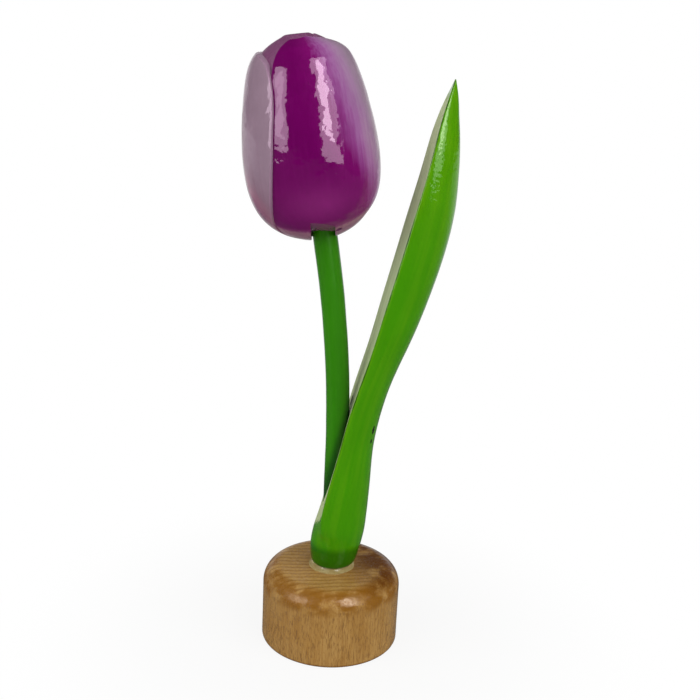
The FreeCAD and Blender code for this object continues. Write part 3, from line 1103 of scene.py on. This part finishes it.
woodColours = paintColours({
    "light": (180, 141, 82),
    "mid": (160, 118, 60),
    "ring": (112, 76, 32),
    "fleck": (100, 60, 22),
    "rounding": (128, 80, 8),
    "shadeBehindLeaf": (96, 54, 14),
    "pale": (190, 150, 88),
    "streak": (128, 84, 38),
})
grain = {
    "ringPitch": 2.3,
    "pith": (-30.0, 210.0),
    "warpSize": (9, 9, 60),
    "warp": 2.2,
    "toneSize": (7, 7, 16),
    "blotchSize": (6, 6, 5),
    "fleckSize": (0.28, 0.28, 2.1),
    "streakSize": (0.6, 0.6, 11.0),
    "fleckDepth": (0.6, 0.4),     # on the side and on the top
    "ringDepth": (0.06, 0.52),
    # distances below the top, and inside the block's side
    "topBand": (4.0, 0.6),
    "roundingBand": (8.5, 5.0),
    "roundingReach": (6.8, 3.2),
    # heights above the floor: painted shade darkens the block's foot where it stands on the floor
    "blockFootShade": (0.2, 1.2),
}


def varnishedBeech(tree):
    place = millimetres(tree)
    at = axesOf(place)

    def fromAxis(x, y):
        return lengthOf(fromNode(tree, "ShaderNodeCombineXYZ", {"X": x, "Y": y}))

    def belowTop(far, near):
        return between(at["Z"], blockHeight - far, blockHeight - near)

    def byTop(depths):
        side, top = depths
        return onTop * (top - side) + side

    onTop = belowTop(*grain["topBand"])
    # growth rings are wide arcs round a pith far behind the block
    pithX, pithY = grain["pith"]
    warp = noiseAt(stretched(place, grain["warpSize"]), 1.0, 3.0) * grain["warp"]
    phase = fraction((fromAxis(at["X"] - pithX, at["Y"] - pithY) + warp) / grain["ringPitch"])
    late = between(phase, 0.45, 0.9) * between(phase, 0.92, 1.0, 1.0, 0.0)
    tone = noiseAt(stretched(place, grain["toneSize"]), 1.0, 3.0, 0.55)
    streaks = between(noiseAt(stretched(place, grain["streakSize"]), 1.0), 0.42, 0.66)
    # short upright flecks on the side, which are pores on the top
    flecks = between(noiseAt(stretched(place, grain["fleckSize"]), 1.0), 0.53, 0.65)
    # the rounded edge is darker and richer, in uneven blotches
    farOut, lessFar = grain["roundingReach"]
    outside = between(fromAxis(at["X"], at["Y"]), blockRadius - farOut, blockRadius - lessFar)
    blotch = noiseAt(stretched(place, grain["blotchSize"]), 1.0, 3.0, 0.6)
    rounding = belowTop(*grain["roundingBand"]) * outside * between(blotch, 0.34, 0.56)
    # painted light and shade: the top is paler at the left where the light falls, and darker at the
    # right behind the leaf as a painted shadow, in blotches
    sunny = onTop * between(at["X"], -18.0, 6.0, 0.6, 0.0)
    behind = onTop * between(at["X"] + at["Y"] * 0.35, 2.0, 16.0) * between(blotch, 0.32, 0.55)
    base = blendColours(between(tone, 0.15, 0.85), woodColours["mid"], woodColours["light"])
    colour = layered(base, [
        (sunny, woodColours["pale"]),
        (streaks * 0.3, woodColours["streak"]),
        (late * byTop(grain["ringDepth"]), woodColours["ring"]),
        (flecks * byTop(grain["fleckDepth"]), woodColours["fleck"]),
        (rounding * 0.8, woodColours["rounding"]),
        (behind * 0.95, woodColours["shadeBehindLeaf"]),
        # painted shade along the foot, where the block meets the floor
        (between(at["Z"], *grain["blockFootShade"], 0.8, 0.0), woodColours["fleck"]),
    ])
    thinVarnish = between(at["X"], -12.0, -1.0, 0.13, 0.0)
    finishSurface(tree, {
        "Base Color": colour,
        "Roughness": between(flecks, 0.0, 1.0, 0.12, 0.3) + thinVarnish,
        "Specular IOR Level": 0.38,
        "Specular Tint": (1.0, 0.86, 0.7, 1),
        "Normal": bumped(flecks * -0.06 + lacquered(place, 2.6, 0.3), 0.2),
    })


def clearGlue(tree):
    place = millimetres(tree)
    tint = colourSteps(noiseAt(place, 0.5), [(0.3, (214, 198, 146)), (0.7, (190, 168, 108))])
    # the glue is thin and clear where it is looked through squarely, and shows at its edges, where it
    # is also painted paler as a painted sheen
    edge = fromNode(tree, "ShaderNodeLayerWeight", {"Blend": 0.35}, "Facing")
    finishSurface(tree, {
        "Base Color": blendColours(between(edge, 0.5, 0.9), tint, paintColour(226, 216, 176)),
        "Roughness": 0.06,
        "IOR": 1.48,
        "Alpha": between(edge, 0.1, 0.9, 0.55, 0.92),
        "Normal": bumped(lacquered(place, 1.4, 0.6), 0.08),
    })


# Camera, light and floor

camera = {
    "place": (2.85, -332.9, 199.45),
    "down": 16.04,
    "roll": 2.65,
    "lens": 54.41,
}
lights = {
    # degrees from the front to the right, degrees up, width, height, distance, watts, what it serves
    "leftWindow": (-52, 15, 0.42, 0.54, 0.8, 3.5, "gloss"),
    "leftPane": (-52, 14, 0.15, 0.38, 0.79, 0.45, "gloss"),
    "rightWindow": (37, 29, 0.46, 0.84, 0.8, 5.6, "gloss"),
    "rightPane": (36, 31, 0.2, 0.56, 0.79, 3.6, "gloss"),
    "leftTent": (-60, 30, 0.9, 0.9, 0.9, 5.0, "shade"),
    "rightTent": (48, 34, 0.9, 0.9, 0.9, 6.0, "shade"),
}
lampAim = (-10, 0, 168)
room = {
    "ambient": 0.42,
    # parts of a direction between which the mirrored wall begins, ends overhead and dims
    "wallStart": (0.55, 1.0),
    "wallTop": (0.05, 0.4),
    "overhead": 0.08,
    "rightSide": (0.0, 0.6),
    "rightShare": 0.6,
    "dimmest": 0.02,
}
floorLook = {
    "reach": 3.0,
    "colour": (0.72, 0.72, 0.71, 1),
    "lifted": (0.03, 0.12, 0.88, 1.0),      # distances in metres, and how white it is seen there
    "mirrored": (0.05, 0.6, 0.12, 0.7),     # the same for how it shows in the gloss
}


def makeCamera():
    data = bpy.data.cameras.new("camera")
    data.lens = camera["lens"]
    data.sensor_width = 36
    data.clip_start, data.clip_end = 0.01, 20
    body = addObject("camera", data)
    tilt = Matrix.Rotation(pi / 2 - radians(camera["down"]), 4, "X")
    roll = Matrix.Rotation(radians(camera["roll"]), 4, "Z")
    body.matrix_world = Matrix.Translation(Vector(camera["place"]) * mm) @ tilt @ roll
    bpy.context.scene.camera = body


def makeLights():
    for name, (azimuth, rise, width, height, distance, watts, serves) in lights.items():
        data = bpy.data.lights.new(name, "AREA")
        data.shape = "RECTANGLE"
        data.size, data.size_y = width, height
        data.energy = watts
        turn, up = radians(azimuth), radians(rise)
        away = Vector((sin(turn) * cos(up), -cos(turn) * cos(up), sin(up)))
        lamp = addObject(name, data)
        lamp.location = Vector(lampAim) * mm + away * distance
        lamp.rotation_mode = "QUATERNION"
        lamp.rotation_quaternion = away.to_track_quat("Z", "Y")
        lamp.visible_diffuse = serves == "shade"
        lamp.visible_glossy = serves == "gloss"


def mirroredRays(rays):
    return larger(rays["Is Glossy Ray"], rays["Is Transmission Ray"])


def makeWorld():
    world = bpy.data.worlds.new("studio")
    bpy.context.scene.world = world
    world.use_nodes = True
    tree = world.node_tree
    tree.nodes.clear()
    rays = allFrom(tree, "ShaderNodeLightPath")
    toward = axesOf(fromNode(tree, "ShaderNodeTexCoord", None, "Generated"))
    # a bright wall behind the object, a dim room on the near side and overhead
    wall = between(toward["Y"], *room["wallStart"])
    wall = wall * between(toward["Z"], *room["wallTop"], 1.0, room["overhead"])
    wall = wall * between(toward["X"], *room["rightSide"], 1.0, room["rightShare"])
    wall = larger(wall, room["dimmest"])
    seen = mirroredRays(rays) * (wall - room["ambient"]) + room["ambient"]
    strength = rays["Is Camera Ray"] * (1.0 - seen) + seen
    light = fromNode(tree, "ShaderNodeBackground", {"Color": (1, 1, 1, 1), "Strength": strength})
    addNode(tree, "ShaderNodeOutputWorld", {"Surface": light})


def paleFloor(tree):
    rays = allFrom(tree, "ShaderNodeLightPath")
    place = fromNode(tree, "ShaderNodeTexCoord", None, "Object")
    direct = rays["Is Camera Ray"]
    lifted = direct * between(lengthOf(place), *floorLook["lifted"])
    # in the gloss the floor is dim near the object and paler far behind it
    glow = between(axesOf(place)["Y"], *floorLook["mirrored"])
    matt = fromNode(tree, "ShaderNodeBsdfDiffuse", {"Color": floorLook["colour"]})
    white = fromNode(tree, "ShaderNodeEmission", {
        "Color": (1, 1, 1, 1), "Strength": larger(direct, glow),
    })
    shown = larger(lifted, mirroredRays(rays))
    mix = fromNode(tree, "ShaderNodeMixShader", {0: shown, 1: matt, 2: white})
    addNode(tree, "ShaderNodeOutputMaterial", {"Surface": mix})


def makeFloor():
    far = floorLook["reach"]
    corners = [(-far, -far, 0), (far, -far, 0), (far, far, 0), (-far, far, 0)]
    mesh = bpy.data.meshes.new("floor")
    mesh.from_pydata(corners, [], [(0, 1, 2, 3)])
    mesh.materials.append(newMaterial(paleFloor))
    addObject("floor", mesh)


bpy.context.scene.view_settings.view_transform = "Standard"
makeCamera()
makeLights()
makeWorld()
makeFloor()
print("camera, lights and floor are in place")

finishPiece(makeBlock(), varnishedBeech, "base_block")
finishPiece(makeStem(), stemPaint, "stem")
finishPiece(makeLeaf(), leafPaint, "leaf")
finishPiece(makeFlowerHead(), petalPaint, "flower_head")
finishPiece(makeGlue(), clearGlue, "glue_bead")
